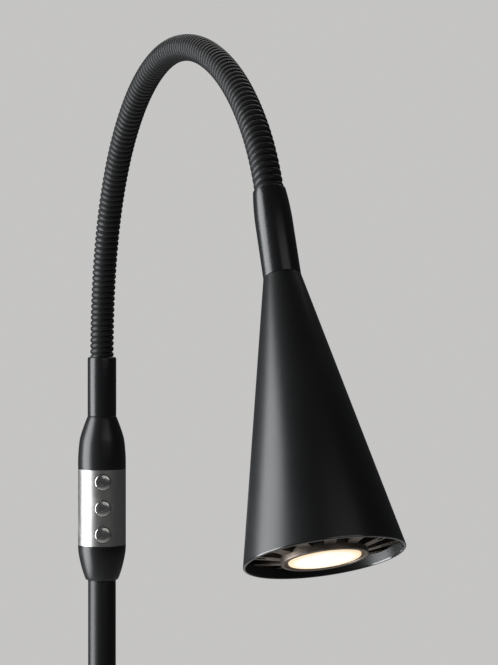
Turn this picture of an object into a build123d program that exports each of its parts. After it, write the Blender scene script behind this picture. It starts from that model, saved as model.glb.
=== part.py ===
"""Gooseneck reading floor lamp.

Units are millimetres and +Z is up. The origin is the centre of the base's
underside, on the floor. The pole stands on the Z axis and the neck arches over
towards -Y, with the shade looking down. The lamp is drawn from the floor up:
base, pole, push-button switch, neck, head, spot bulb.
"""

import os
from math import atan2, cos, degrees, hypot, pi, radians, sin, sqrt

from build123d import *

os.makedirs("parts", exist_ok=True)

# Clearances
SLIP = 0.1  # radial, where one piece slips into another
THREAD = 0.05  # radial, round a screw or a threaded tube
LOOSE = 0.5  # round what is only housed

# Base: a cast weight under a pressed steel cover, on a soft pad
BASE_DIAMETER = 230.0
PAD_DIAMETER = 214.0
PAD_THICKNESS = 2.0
WEIGHT_THICKNESS = 18.0
COVER_WALL = 1.2
COVER_EDGE_RADIUS = 6.0
COVER_SKIRT_HEIGHT = 1.5  # its lower edge, above the floor
POCKET_RADIUS = 23.0
POCKET_DEPTH = 12.0
CHANNEL_WIDTH = 7.0
CHANNEL_ROOM = 4.0  # above the lead's centre line
FOOT_SCREW_CIRCLE = 34.0
FOOT_SCREW_COUNT = 3
FOOT_SCREW_RADIUS = 2.5
FOOT_SCREW_BITE = 4.5  # how far the screws reach into the foot
SCREW_HEAD_RADIUS = 4.5
SCREW_HEAD_HEIGHT = 3.0

# Pole foot
FOOT_FLANGE_RADIUS = 23.0
FOOT_FLANGE_HEIGHT = 3.0
FOOT_SPIGOT_RADIUS = 19.8
FOOT_WAIST_HEIGHT = 12.0
FOOT_WAIST_STEP = 1.0  # how much wider the waist is than the foot's top
FOOT_HOLLOW = 1.5  # how far the flare's side is drawn in
FOOT_HEIGHT = 28.0
FOOT_TOP_WALL = 2.7
FOOT_FLOOR = 8.0

# Low-voltage inlet at the back of the base
INLET_WIDTH = 10.0
INLET_LENGTH = 15.0
INLET_HEIGHT = 11.0
INLET_CENTRE_HEIGHT = 9.0
INLET_NOSE_RADIUS = 4.0
INLET_BORE_RADIUS = 2.8
INLET_BORE_DEPTH = 9.0
INLET_PIN_RADIUS = 1.0
INLET_PIN_RECESS = 1.0  # the pin's tip, in from the socket's mouth
INLET_PIN_START = 3.0  # the pin's root, from the rear of the body
INLET_SETBACK = 1.8  # the front of the body, behind the cover's skirt
INLET_STANDS_OUT = 0.6  # the nose, from the cover's skirt

# Leads
LEAD_RADIUS = 1.5
LEAD_HEIGHT_IN_BASE = 7.0
LEAD_BEND_RADIUS = 8.0
LEAD_PASSAGE_RADIUS = 4.5
LEAD_WELL = 8.0  # how far each lead reaches into the switch's chassis

# Pole
POLE_DIAMETER = 12.4
POLE_WALL = 1.0
LOWER_POLE_LENGTH = 510.0
UPPER_POLE_LENGTH = 510.0
COUPLER_LENGTH = 60.0
COUPLER_BORE_RADIUS = 3.0
PLUG_LENGTH = 12.0

# Switch housing
SWITCH_TURN = -16.0  # degrees, the buttons look a little to one side of the arch
SWITCH_DIAMETER = 21.4
LOWER_TAPER_HEIGHT = 13.9
LOWER_CUFF_HEIGHT = 1.8  # straight stretch between the taper and the band
LOWER_END_DIAMETER = 14.4
BAND_HEIGHT = 33.8
UPPER_CUFF_HEIGHT = 8.0
UPPER_TAPER_HEIGHT = 15.6
BAND_WALL = 1.2
REBATE_HEIGHT = 1.0
TAPER_SWELL = 1.0  # how far each taper's side stands out from a straight line
POLE_SEAT_DEPTH = 10.5
SEAT_FLOOR = 2.0
CAVITY_RADIUS = 6.6
UPPER_CAVITY_HEIGHT = 12.0
STUD_RADIUS = 4.0
STUD_BORE_RADIUS = 2.6
NUT_HALF_WIDTH = 5.5
NUT_HEIGHT = 3.0
TIE_RADIUS = 0.9
TIE_ANGLES = (35.0, 145.0)  # degrees from +X, behind the board
TIE_BITE = 4.0

# Push buttons
BUTTON_COUNT = 3
BUTTON_PITCH = 11.6
BUTTON_RADIUS = 3.5
BUTTON_HOLE_GAP = 0.2
BUTTON_EDGE = 0.3  # how far the cap's rim stands out of the band
BUTTON_CROWN = 0.6
BUTTON_TRAVEL = 0.6
BUTTON_STOP_GAP = 0.2
FLANGE_RADIUS = 4.0
FLANGE_THICKNESS = 1.2
FLANGE_DEPTH = 2.7  # from the band's surface to the flange's outer face
STEM_RADIUS = 1.5
STEM_LENGTH = 2.0
BOARD_THICKNESS = 1.6
BOARD_EDGE_GAP = 0.5  # between the board's long edges and the band
BOARD_LENGTH = 31.0
BOARD_DISTANCE = 1.5  # in front of the lamp's axis
KEY_SWITCH_WIDTH = 6.0
KEY_SWITCH_WELL = 2.1

# Neck
NECK_LENGTH = 295.2
NECK_RADIUS = 5.25
RIB_DEPTH = 0.6
RIBS_PER_LINK = 11
RIB_CREST = 0.2  # half the crest's width, as a share of the ribs' pitch
RIB_FOOT = 0.4  # half the rib's width at its root, as a share of the pitch
NECK_BORE_RADIUS = 2.2
NECK_BENDS = (8.1, 11.2, 14.7, 17.6, 20.0, 20.8, 16.8, 14.5, 15.6, 19.3)  # degrees, link by link
NECK_LEANS = (0, 0, 0, 0, 0, 0, 0, -0.2, -0.2, -0.2)  # degrees, towards +X
BALL_RADIUS = 4.3
BALL_CLEARANCE = 0.15
BALL_BORE_RADIUS = 2.6
BALL_NOSE = 2.8  # from the ball's centre to its flat nose
LIP_DISTANCE = 1.5  # from the ball's centre to the socket's lip
SHOULDER_DISTANCE = 1.05  # from the ball's centre to the rib behind it
NECK_END_RADIUS = 4.5
NECK_END_LENGTH = 14.0

# Neck sleeve, above the switch
SLEEVE_DIAMETER = 12.8
SLEEVE_LENGTH = 26.5
SLEEVE_CHAMFER = 1.0
SLEEVE_SPIGOT_RADIUS = 5.3
SLEEVE_SPIGOT_LENGTH = 8.0
SLEEVE_STUD_LENGTH = 14.5

# Head
COLLAR_DIAMETER = 13.2
COLLAR_LENGTH = 32.9
COLLAR_MOUTH_RADIUS = 5.8
COLLAR_SHOULDER = 7.5
COLLAR_BORE_RADIUS = 2.6
SEAM_BEVEL = 0.3
NIPPLE_RADIUS = 4.0
NIPPLE_IN_COLLAR = 10.0
NIPPLE_IN_SHADE = 15.5
SHADE_LENGTH = 99.8
SHADE_MOUTH_DIAMETER = 54.0
SHADE_WALL = 0.8
SHADE_BOSS = 7.0
HEAD_NUT_HALF_WIDTH = 5.5
HOLDER_TUBE_RADIUS = 7.0
HOLDER_TUBE_WALL = 1.2
HOLDER_RADIUS = 9.8
HOLDER_LENGTH = 10.0
HOLDER_SPIGOT_LENGTH = 6.0
HOLDER_THREAD_OVERLAP = 0.5  # the threaded collar inside the tube, sunk in its wall
HOLDER_GAP = 0.3
HOLDER_SCREW_RADIUS = 1.25
HOLDER_SCREW_BITE = 2.0  # into the holder's spigot
HOLDER_SCREW_RECESS = 0.1
CONTACT_FLOOR = 1.0  # the ceramic behind each contact

# Spot bulb, 50 mm, measured back from the shade's mouth
BULB_RADIUS = 25.0
BULB_LENGTH = 46.0
RIM_RECESS = 3.2
HUB_RADIUS = 14.5
HUB_RECESS = 0.3
CUP_RADIUS = 13.1
CUP_DEPTH = 9.0
PETAL_COUNT = 12
PETAL_TURN = 16.0  # degrees, the first petal from the head's own +X
PETAL_WIDTH = 3.8
PETAL_WALL = 1.1
PETAL_END = 2.8  # height of the petals' outer end
PETAL_ROOT_RECESS = 1.3  # the petals' front edge where it meets the hub
PETAL_REAR_REACH = 1.5  # the petals' rear corner, out from the core
PETAL_REAR_STEP = 0.5  # the petals' rear edge, ahead of the core's
PETAL_ROOT_DEPTH = 2.0  # how far the petals are sunk in the core
PETAL_SLOT_START = 4.5  # each petal's slot, out from the hub
CORE_REAR_RADIUS = 10.0
CAP_LENGTH = 12.0
CAP_RADIUS = 10.6
LENS_RADIUS = 12.0
LENS_DOME = 0.5
LENS_EDGE = 2.0
LENS_BACK_RADIUS = 3.5
LENS_BACK_GAP = 1.0  # between the lens and the board behind it
CHIP_RADIUS = 3.0
CHIP_HEIGHT = 0.8
BEZEL_DEPTH = 4.0
BEZEL_RECESS = 0.3  # the bezel's outer edge, in from the hub's front
BEZEL_BEVEL = 0.3
PIN_SPACING = 5.33
PIN_RADIUS = 0.75
PIN_LENGTH = 6.2
PIN_ROOT = 2.0  # each pin's root in the cap
CONTACT_RADIUS = 1.5


def rod(radius, low, high):
    """A round bar on the Z axis between two heights."""
    bar = Cylinder(radius, high - low, align=(Align.CENTER, Align.CENTER, Align.MIN))
    return Pos(0, 0, low) * bar


def tube(outer, inner, low, high):
    """A round tube on the Z axis between two heights."""
    return rod(outer, low, high) - rod(inner, low, high)


def block(width, depth, low, high):
    """A box centred on the Z axis between two heights."""
    return Pos(0, 0, (low + high) / 2) * Box(width, depth, high - low)


def hexagon(half_width, bore, low, high):
    """A hexagon nut on the Z axis."""
    flats = extrude(RegularPolygon(half_width, 6, major_radius=False), high - low)
    return Pos(0, 0, low) * flats - rod(bore, low, high)


def lathe(*points):
    """A solid of revolution about Z, from corners given as (radius, height)."""
    outline = Polyline([(r, 0, z) for r, z in points], close=True)
    return revolve(make_face(outline), Axis.Z)


def swollen(start, end, swell):
    """The middle corner of a side from start to end that swells outward."""
    return ((start[0] + end[0]) / 2 + swell, (start[1] + end[1]) / 2)


def dome(radius, low, rise):
    """A shallow round cap on the Z axis, cut from a ball."""
    ball_radius = (radius**2 + rise**2) / (2 * rise)
    ball = Pos(0, 0, low + rise - ball_radius) * Sphere(ball_radius)
    return ball & rod(radius, low, low + 2 * rise)


def around(shape, count, radius, first=0.0):
    """Copies of a shape, evenly spaced on a circle about Z."""
    return [Rot(0, 0, first + 360 * i / count) * Pos(radius, 0, 0) * shape for i in range(count)]


def save(name, *shapes):
    """Write one node: a single solid, or a group of separate ones."""
    solids = [solid for shape in shapes for solid in shape.solids()]
    node = solids[0] if len(solids) == 1 else Compound(children=solids)
    node.label = name
    export_step(node, f"parts/{name}.step")


# Heights, from the floor up
WEIGHT_BOTTOM = PAD_THICKNESS
WEIGHT_TOP = WEIGHT_BOTTOM + WEIGHT_THICKNESS
COVER_TOP = WEIGHT_TOP + COVER_WALL
POCKET_TOP = WEIGHT_BOTTOM + POCKET_DEPTH
FOOT_TOP = COVER_TOP + FOOT_HEIGHT
POLE_BOTTOM = COVER_TOP + FOOT_FLOOR
POLE_JOINT = POLE_BOTTOM + LOWER_POLE_LENGTH
POLE_TOP = POLE_JOINT + UPPER_POLE_LENGTH
SWITCH_BOTTOM = POLE_TOP - POLE_SEAT_DEPTH
BAND_BOTTOM = SWITCH_BOTTOM + LOWER_TAPER_HEIGHT + LOWER_CUFF_HEIGHT
BAND_TOP = BAND_BOTTOM + BAND_HEIGHT
SLEEVE_BOTTOM = BAND_TOP + UPPER_CUFF_HEIGHT + UPPER_TAPER_HEIGHT
SLEEVE_TOP = SLEEVE_BOTTOM + SLEEVE_LENGTH

# Radii and distances from the pole that several pieces share
BASE_RADIUS = BASE_DIAMETER / 2
WEIGHT_RADIUS = BASE_RADIUS - COVER_WALL - LOOSE
POLE_RADIUS = POLE_DIAMETER / 2
POLE_BORE_RADIUS = POLE_RADIUS - POLE_WALL
INLET_FRONT = BASE_RADIUS - COVER_WALL - INLET_SETBACK
INLET_REAR = INLET_FRONT - INLET_LENGTH
INLET_MOUTH = BASE_RADIUS + INLET_STANDS_OUT
SWITCH_RADIUS = SWITCH_DIAMETER / 2
BAND_BORE_RADIUS = SWITCH_RADIUS - BAND_WALL
REBATE_RADIUS = BAND_BORE_RADIUS - SLIP
TIE_CIRCLE_RADIUS = (REBATE_RADIUS + CAVITY_RADIUS) / 2
SLEEVE_RADIUS = SLEEVE_DIAMETER / 2
COLLAR_RADIUS = COLLAR_DIAMETER / 2
MOUTH_RADIUS = SHADE_MOUTH_DIAMETER / 2

# Depths in the switch, measured forward from the lamp's axis
KEY_SWITCH_FRONT = SWITCH_RADIUS - FLANGE_DEPTH - FLANGE_THICKNESS - BUTTON_TRAVEL - BUTTON_STOP_GAP
BOARD_FRONT = BOARD_DISTANCE + BOARD_THICKNESS
BOARD_WIDTH = 2 * (sqrt(BAND_BORE_RADIUS**2 - BOARD_FRONT**2) - BOARD_EDGE_GAP)
BUTTON_HEIGHTS = [
    BAND_BOTTOM + BAND_HEIGHT / 2 + BUTTON_PITCH * (i - (BUTTON_COUNT - 1) / 2)
    for i in range(BUTTON_COUNT)
]


# ---------------------------------------------------------------- base


def base_pad():
    """The soft disc that the lamp stands on."""
    return rod(PAD_DIAMETER / 2, 0, PAD_THICKNESS)


def base_weight():
    """The cast disc, with a pocket for the screws and a channel for the lead."""
    disc = rod(WEIGHT_RADIUS, WEIGHT_BOTTOM, WEIGHT_TOP)
    disc = chamfer(disc.edges().group_by(Axis.Z)[-1], COVER_EDGE_RADIUS - COVER_WALL)
    disc -= rod(POCKET_RADIUS, WEIGHT_BOTTOM, POCKET_TOP)
    disc -= rod(LEAD_PASSAGE_RADIUS, WEIGHT_BOTTOM, WEIGHT_TOP)
    for hole in around(rod(FOOT_SCREW_RADIUS + SLIP, POCKET_TOP, WEIGHT_TOP),
                       FOOT_SCREW_COUNT, FOOT_SCREW_CIRCLE / 2):
        disc -= hole
    channel_top = LEAD_HEIGHT_IN_BASE + CHANNEL_ROOM
    channel = block(CHANNEL_WIDTH, BASE_DIAMETER, WEIGHT_BOTTOM, channel_top)
    disc -= Pos(0, BASE_RADIUS, 0) * channel
    inlet_top = INLET_CENTRE_HEIGHT + INLET_HEIGHT / 2 + LOOSE
    inlet_room = block(INLET_WIDTH + 2 * LOOSE, BASE_DIAMETER, WEIGHT_BOTTOM, inlet_top)
    disc -= Pos(0, INLET_REAR - LOOSE + BASE_RADIUS, 0) * inlet_room
    return disc


def base_cover():
    """The pressed cover: a flat top that rolls over into a short skirt."""
    bend_radius = BASE_RADIUS - COVER_EDGE_RADIUS
    bend_height = COVER_TOP - COVER_EDGE_RADIUS
    roll = [
        (bend_radius + COVER_EDGE_RADIUS * cos(radians(angle)),
         bend_height + COVER_EDGE_RADIUS * sin(radians(angle)))
        for angle in (0, 30, 60, 90)
    ]
    cover = lathe(
        (BASE_RADIUS, COVER_SKIRT_HEIGHT),
        *roll,
        (FOOT_SPIGOT_RADIUS + SLIP, COVER_TOP),
        (FOOT_SPIGOT_RADIUS + SLIP, WEIGHT_TOP),
        (bend_radius, WEIGHT_TOP),
        (BASE_RADIUS - COVER_WALL, bend_height),
        (BASE_RADIUS - COVER_WALL, COVER_SKIRT_HEIGHT),
    )
    return cover - inlet_bar(INLET_NOSE_RADIUS + SLIP, INLET_FRONT, 2 * BASE_RADIUS)


def pole_foot():
    """The flared collar that holds the pole upright on the base."""
    top_radius = POLE_RADIUS + FOOT_TOP_WALL
    flare_low = (FOOT_FLANGE_RADIUS, COVER_TOP + FOOT_FLANGE_HEIGHT)
    flare_high = (top_radius + FOOT_WAIST_STEP, COVER_TOP + FOOT_WAIST_HEIGHT)
    foot = lathe(
        (LEAD_PASSAGE_RADIUS, WEIGHT_TOP),
        (FOOT_SPIGOT_RADIUS, WEIGHT_TOP),
        (FOOT_SPIGOT_RADIUS, COVER_TOP),
        (FOOT_FLANGE_RADIUS, COVER_TOP),
        flare_low,
        swollen(flare_low, flare_high, -FOOT_HOLLOW),
        flare_high,
        (top_radius, FOOT_TOP),
        (POLE_RADIUS + SLIP, FOOT_TOP),
        (POLE_RADIUS + SLIP, POLE_BOTTOM),
        (LEAD_PASSAGE_RADIUS, POLE_BOTTOM),
    )
    hole = rod(FOOT_SCREW_RADIUS + THREAD, WEIGHT_TOP, COVER_TOP + FOOT_SCREW_BITE)
    for screw_hole in around(hole, FOOT_SCREW_COUNT, FOOT_SCREW_CIRCLE / 2):
        foot -= screw_hole
    return foot


def foot_screws():
    """The screws that hold the foot, from under the weight."""
    shank = rod(FOOT_SCREW_RADIUS, POCKET_TOP, COVER_TOP + FOOT_SCREW_BITE - LOOSE)
    head = rod(SCREW_HEAD_RADIUS, POCKET_TOP - SCREW_HEAD_HEIGHT, POCKET_TOP)
    return around(shank + head, FOOT_SCREW_COUNT, FOOT_SCREW_CIRCLE / 2)


def inlet_bar(radius, start, end):
    """A round bar along Y at the inlet's height."""
    bar = Cylinder(radius, end - start)
    return Pos(0, (start + end) / 2, INLET_CENTRE_HEIGHT) * Rot(90, 0, 0) * bar


def dc_inlet():
    """The low-voltage socket: a moulded body whose nose comes through the skirt."""
    middle = (INLET_FRONT + INLET_REAR) / 2
    low = INLET_CENTRE_HEIGHT - INLET_HEIGHT / 2
    body = Pos(0, middle, 0) * block(INLET_WIDTH, INLET_LENGTH, low, low + INLET_HEIGHT)
    body += inlet_bar(INLET_NOSE_RADIUS, middle, INLET_MOUTH)
    body -= inlet_bar(INLET_BORE_RADIUS, INLET_MOUTH - INLET_BORE_DEPTH, INLET_MOUTH)
    return body - inlet_bar(INLET_PIN_RADIUS, INLET_REAR + INLET_PIN_START, INLET_MOUTH)


def dc_inlet_pin():
    """The socket's centre pin."""
    return inlet_bar(INLET_PIN_RADIUS, INLET_REAR + INLET_PIN_START,
                     INLET_MOUTH - INLET_PIN_RECESS)


# ---------------------------------------------------------------- pole


def lower_pole():
    return tube(POLE_RADIUS, POLE_BORE_RADIUS, POLE_BOTTOM, POLE_JOINT)


def upper_pole():
    return tube(POLE_RADIUS, POLE_BORE_RADIUS, POLE_JOINT, POLE_TOP)


def pole_coupler():
    """The hollow stud that screws the two lengths of pole together."""
    low = POLE_JOINT - COUPLER_LENGTH / 2
    return tube(POLE_BORE_RADIUS - THREAD, COUPLER_BORE_RADIUS, low, low + COUPLER_LENGTH)


def pole_plug():
    """The plug in the pole's upper end, with the stud that the switch screws on."""
    low = POLE_TOP - PLUG_LENGTH
    high = POLE_TOP + SEAT_FLOOR + NUT_HEIGHT
    plug = rod(POLE_BORE_RADIUS - THREAD, low, POLE_TOP) + rod(STUD_RADIUS, POLE_TOP, high)
    return plug - rod(STUD_BORE_RADIUS, low, high)


def pole_nut():
    low = POLE_TOP + SEAT_FLOOR
    return hexagon(NUT_HALF_WIDTH, STUD_RADIUS + THREAD, low, low + NUT_HEIGHT)


def supply_route():
    """From the inlet, along the weight's channel and up the pole to the switch."""
    return FilletPolyline(
        (0, INLET_REAR, LEAD_HEIGHT_IN_BASE),
        (0, 0, LEAD_HEIGHT_IN_BASE),
        (0, 0, BAND_BOTTOM + REBATE_HEIGHT + LEAD_WELL),
        radius=LEAD_BEND_RADIUS,
    )


def lead(route):
    """A round lead along a route."""
    start = Plane(origin=route @ 0, z_dir=route % 0)
    return sweep(start * Circle(LEAD_RADIUS), path=route)


# ---------------------------------------------------------------- switch

FRONT = Rot(0, 0, SWITCH_TURN)  # the switch's front is -Y, turned by this


def tie_rods(radius, low, high):
    """The two long screws, or with a wider radius their holes."""
    rods = []
    for angle in TIE_ANGLES:
        place = Rot(0, 0, angle) * Pos(TIE_CIRCLE_RADIUS, 0, 0)
        rods.append(place * rod(radius, low, high))
    return rods


def switch_lower_shell():
    """The tapered lower end of the housing, seated over the pole."""
    taper_low = (LOWER_END_DIAMETER / 2, SWITCH_BOTTOM)
    taper_high = (SWITCH_RADIUS, SWITCH_BOTTOM + LOWER_TAPER_HEIGHT)
    shell = lathe(
        (0, SWITCH_BOTTOM),
        taper_low,
        swollen(taper_low, taper_high, TAPER_SWELL),
        taper_high,
        (SWITCH_RADIUS, BAND_BOTTOM),
        (REBATE_RADIUS, BAND_BOTTOM),
        (REBATE_RADIUS, BAND_BOTTOM + REBATE_HEIGHT),
        (0, BAND_BOTTOM + REBATE_HEIGHT),
    )
    shell -= rod(POLE_RADIUS + SLIP, SWITCH_BOTTOM, POLE_TOP)
    shell -= rod(STUD_RADIUS + THREAD, POLE_TOP, POLE_TOP + SEAT_FLOOR)
    shell -= rod(CAVITY_RADIUS, POLE_TOP + SEAT_FLOOR, BAND_BOTTOM + REBATE_HEIGHT)
    for hole in tie_rods(TIE_RADIUS + THREAD, BAND_BOTTOM - TIE_BITE, BAND_TOP):
        shell -= hole
    return FRONT * shell


def switch_upper_shell():
    """The tapered upper end of the housing, below the neck's sleeve."""
    taper_low = (SWITCH_RADIUS, BAND_TOP + UPPER_CUFF_HEIGHT)
    taper_high = (SLEEVE_RADIUS, SLEEVE_BOTTOM)
    shell = lathe(
        (0, BAND_TOP - REBATE_HEIGHT),
        (REBATE_RADIUS, BAND_TOP - REBATE_HEIGHT),
        (REBATE_RADIUS, BAND_TOP),
        (SWITCH_RADIUS, BAND_TOP),
        taper_low,
        swollen(taper_low, taper_high, TAPER_SWELL),
        taper_high,
        (0, SLEEVE_BOTTOM),
    )
    shell -= rod(CAVITY_RADIUS, BAND_TOP - REBATE_HEIGHT, BAND_TOP + UPPER_CAVITY_HEIGHT)
    spigot_end = SLEEVE_BOTTOM - SLEEVE_SPIGOT_LENGTH
    shell -= rod(SLEEVE_SPIGOT_RADIUS + SLIP, spigot_end, SLEEVE_BOTTOM)
    shell -= rod(STUD_RADIUS + THREAD, BAND_TOP, spigot_end)
    for hole in tie_rods(TIE_RADIUS + THREAD, BAND_BOTTOM, BAND_TOP + TIE_BITE):
        shell -= hole
    return FRONT * shell


def switch_ties():
    """The long screws that draw the two shells against the band."""
    return [FRONT * tie for tie in tie_rods(TIE_RADIUS, BAND_BOTTOM - TIE_BITE + LOOSE,
                                            BAND_TOP + TIE_BITE - LOOSE)]


def button_place(height):
    """A frame on the lamp's axis at a button's height: its +Z looks out of the front."""
    return FRONT * Pos(0, 0, height) * Rot(90, 0, 0)


def switch_band():
    """The bright metal band, with a hole for each button."""
    band = tube(SWITCH_RADIUS, BAND_BORE_RADIUS, BAND_BOTTOM, BAND_TOP)
    for height in BUTTON_HEIGHTS:
        hole = rod(BUTTON_RADIUS + BUTTON_HOLE_GAP, 0, SWITCH_DIAMETER)
        band -= button_place(height) * hole
    return band


def switch_chassis():
    """The moulded half-round block behind the board, with a well for each lead."""
    low, high = BAND_BOTTOM + REBATE_HEIGHT, BAND_TOP - REBATE_HEIGHT
    radius = BAND_BORE_RADIUS - SLIP
    chassis = rod(radius, low, high)
    front = block(4 * radius, 2 * radius, low, high)
    chassis -= Pos(0, -radius - BOARD_DISTANCE, 0) * front
    chassis -= rod(LEAD_RADIUS + LOOSE, low, low + LEAD_WELL + LOOSE)
    chassis -= rod(LEAD_RADIUS + LOOSE, high - LEAD_WELL - LOOSE, high)
    for hole in tie_rods(TIE_RADIUS + SLIP, low, high):
        chassis -= hole
    return FRONT * chassis


def switch_board():
    """The circuit board, flat on the chassis."""
    middle = BAND_BOTTOM + BAND_HEIGHT / 2
    board = block(BOARD_WIDTH, BOARD_THICKNESS, middle - BOARD_LENGTH / 2, middle + BOARD_LENGTH / 2)
    return FRONT * Pos(0, -BOARD_DISTANCE - BOARD_THICKNESS / 2, 0) * board


def key_switches():
    """One small key switch behind each button, each with a well for its stem."""
    switches = []
    for height in BUTTON_HEIGHTS:
        body = block(KEY_SWITCH_WIDTH, KEY_SWITCH_WIDTH, BOARD_FRONT, KEY_SWITCH_FRONT)
        body -= rod(STEM_RADIUS + 2 * SLIP, KEY_SWITCH_FRONT - KEY_SWITCH_WELL, KEY_SWITCH_FRONT)
        switches.append(button_place(height) * body)
    return switches


def button(height):
    """A domed cap with a flange that keeps it behind the band, and a stem."""
    flange_front = SWITCH_RADIUS - FLANGE_DEPTH
    flange_rear = flange_front - FLANGE_THICKNESS
    rim = SWITCH_RADIUS + BUTTON_EDGE
    piece = rod(STEM_RADIUS, flange_rear - STEM_LENGTH, flange_rear)
    piece += rod(FLANGE_RADIUS, flange_rear, flange_front)
    piece += rod(BUTTON_RADIUS, flange_front, rim)
    piece += dome(BUTTON_RADIUS, rim, BUTTON_CROWN)
    return button_place(height) * piece


# ---------------------------------------------------------------- neck


def arc_step(length, bend, lean):
    """Where a piece of the neck leads: an arc of this length, turned by bend
    degrees towards -Y and by lean degrees towards +X."""
    turn = hypot(bend, lean)
    towards = degrees(atan2(lean, bend))
    radius = length / radians(turn)
    along = Pos(0, -radius * (1 - cos(radians(turn))), radius * sin(radians(turn)))
    return Rot(0, 0, towards) * along * Rot(turn, 0, 0) * Rot(0, 0, -towards)


LINK_COUNT = len(NECK_BENDS)
LINK_LENGTH = NECK_LENGTH / LINK_COUNT


def along_link(index, distance):
    """The frame on the neck's centre line at a distance into a link: +Z runs
    along the neck and +X stays level."""
    share = distance / LINK_LENGTH
    if share == 0:
        return JOINTS[index]
    return JOINTS[index] * arc_step(distance, NECK_BENDS[index] * share,
                                    NECK_LEANS[index] * share)


JOINTS = [Pos(0, 0, SLEEVE_TOP)]
for number in range(LINK_COUNT):
    JOINTS.append(JOINTS[number] * arc_step(LINK_LENGTH, NECK_BENDS[number], NECK_LEANS[number]))
HEAD = JOINTS[-1]  # the neck's end: +Z runs down through the head


def link_centre_line(index):
    ends = [along_link(index, LINK_LENGTH * share).position for share in (0, 0.5, 1)]
    return ThreePointArc(*ends)


def ribbed_skin(index, start, end):
    """The ribbed outside of a link. Each rib is four circles square to the neck's
    centre line at the rib's middle: root, crest, crest, root."""
    pitch = (end - start) / (RIBS_PER_LINK - 1 + 2 * RIB_FOOT)
    root = NECK_RADIUS - RIB_DEPTH
    rings = []
    for rib in range(RIBS_PER_LINK):
        middle = along_link(index, start + pitch * (rib + RIB_FOOT))
        rings.append(middle * Pos(0, 0, -pitch * RIB_FOOT) * Circle(root))
        rings.append(middle * Pos(0, 0, -pitch * RIB_CREST) * Circle(NECK_RADIUS))
        rings.append(middle * Pos(0, 0, pitch * RIB_CREST) * Circle(NECK_RADIUS))
        rings.append(middle * Pos(0, 0, pitch * RIB_FOOT) * Circle(root))
    return loft(rings, ruled=True)


def ball_end(place):
    """The ball that a link carries at its upper end, flat on its nose. Its back
    half is sunk in the link."""
    reach = 2 * BALL_RADIUS
    ball = Sphere(BALL_RADIUS) & block(reach, reach, -2 * SHOULDER_DISTANCE, BALL_NOSE)
    return place * (ball - rod(BALL_BORE_RADIUS, 0, BALL_NOSE))


def neck_link(index):
    """One link of the neck. Its lower end is a socket, or plain in the sleeve;
    its upper end is a ball, or plain in the collar."""
    first, last = index == 0, index == LINK_COUNT - 1
    start = SLIP if first else LIP_DISTANCE
    end = LINK_LENGTH - (SLIP if last else SHOULDER_DISTANCE)
    link = ribbed_skin(index, start, end)
    centre = link_centre_line(index)
    if first:
        link += JOINTS[index] * rod(NECK_END_RADIUS, -NECK_END_LENGTH, LIP_DISTANCE)
    if last:
        link += JOINTS[index + 1] * rod(NECK_END_RADIUS, -LIP_DISTANCE, NECK_END_LENGTH)
    if not first:
        link -= JOINTS[index] * Sphere(BALL_RADIUS + BALL_CLEARANCE)
    if not last:
        link += ball_end(JOINTS[index + 1])
    link -= sweep(JOINTS[index] * Circle(NECK_BORE_RADIUS), path=centre)
    if first:
        link -= JOINTS[index] * rod(NECK_BORE_RADIUS + SLIP, -NECK_END_LENGTH, 0)
    if last:
        link -= JOINTS[index + 1] * rod(NECK_BORE_RADIUS + SLIP, 0, NECK_END_LENGTH)
    return link


def neck_sleeve():
    """The turned sleeve between the switch and the neck."""
    seat = SLEEVE_TOP - NECK_END_LENGTH - LOOSE
    shoulder = SLEEVE_RADIUS - SLEEVE_CHAMFER
    sleeve = lathe((0, SLEEVE_BOTTOM), (SLEEVE_RADIUS, SLEEVE_BOTTOM),
                   (SLEEVE_RADIUS, SLEEVE_TOP - SLEEVE_CHAMFER), (shoulder, SLEEVE_TOP),
                   (0, SLEEVE_TOP))
    spigot_end = SLEEVE_BOTTOM - SLEEVE_SPIGOT_LENGTH
    stud_end = spigot_end - SLEEVE_STUD_LENGTH
    sleeve += rod(SLEEVE_SPIGOT_RADIUS, spigot_end, SLEEVE_BOTTOM)
    sleeve += rod(STUD_RADIUS, stud_end, spigot_end)
    sleeve -= rod(NECK_END_RADIUS + SLIP, seat, SLEEVE_TOP)
    return sleeve - rod(STUD_BORE_RADIUS, stud_end, seat)


def sleeve_nut():
    high = BAND_TOP + UPPER_CAVITY_HEIGHT
    return hexagon(NUT_HALF_WIDTH, STUD_RADIUS + THREAD, high - NUT_HEIGHT, high)


def neck_route():
    """From the switch up through the neck and down to the lamp holder."""
    bottom = (0, 0, BAND_TOP - REBATE_HEIGHT - LEAD_WELL)
    holder = HEAD * Pos(0, 0, HOLDER_REAR)
    pieces = [Line(bottom, JOINTS[0].position)]
    pieces += [link_centre_line(index) for index in range(LINK_COUNT)]
    pieces.append(Line(HEAD.position, holder.position))
    return Wire([edge for piece in pieces for edge in piece.edges()])


# ---------------------------------------------------------------- head
# Drawn about the head's own axis, from the neck's end down to the shade's mouth.

SEAM = COLLAR_LENGTH
MOUTH = SEAM + SHADE_LENGTH
SHADE_SLOPE = (MOUTH_RADIUS - COLLAR_RADIUS) / SHADE_LENGTH
SHADE_WALL_ACROSS = SHADE_WALL * hypot(1, SHADE_SLOPE)
HOLDER_FRONT = MOUTH - BULB_LENGTH - HOLDER_GAP
HOLDER_BACK = HOLDER_FRONT - HOLDER_LENGTH
HOLDER_REAR = HOLDER_BACK - HOLDER_SPIGOT_LENGTH
HOLDER_TUBE_TOP = SEAM + SHADE_BOSS + NUT_HEIGHT
HOLDER_TUBE_BORE = HOLDER_TUBE_RADIUS - HOLDER_TUBE_WALL


def shade_radius(distance):
    """The shade's outer radius at a distance from the neck's end."""
    return COLLAR_RADIUS + SHADE_SLOPE * (distance - SEAM)


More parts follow.
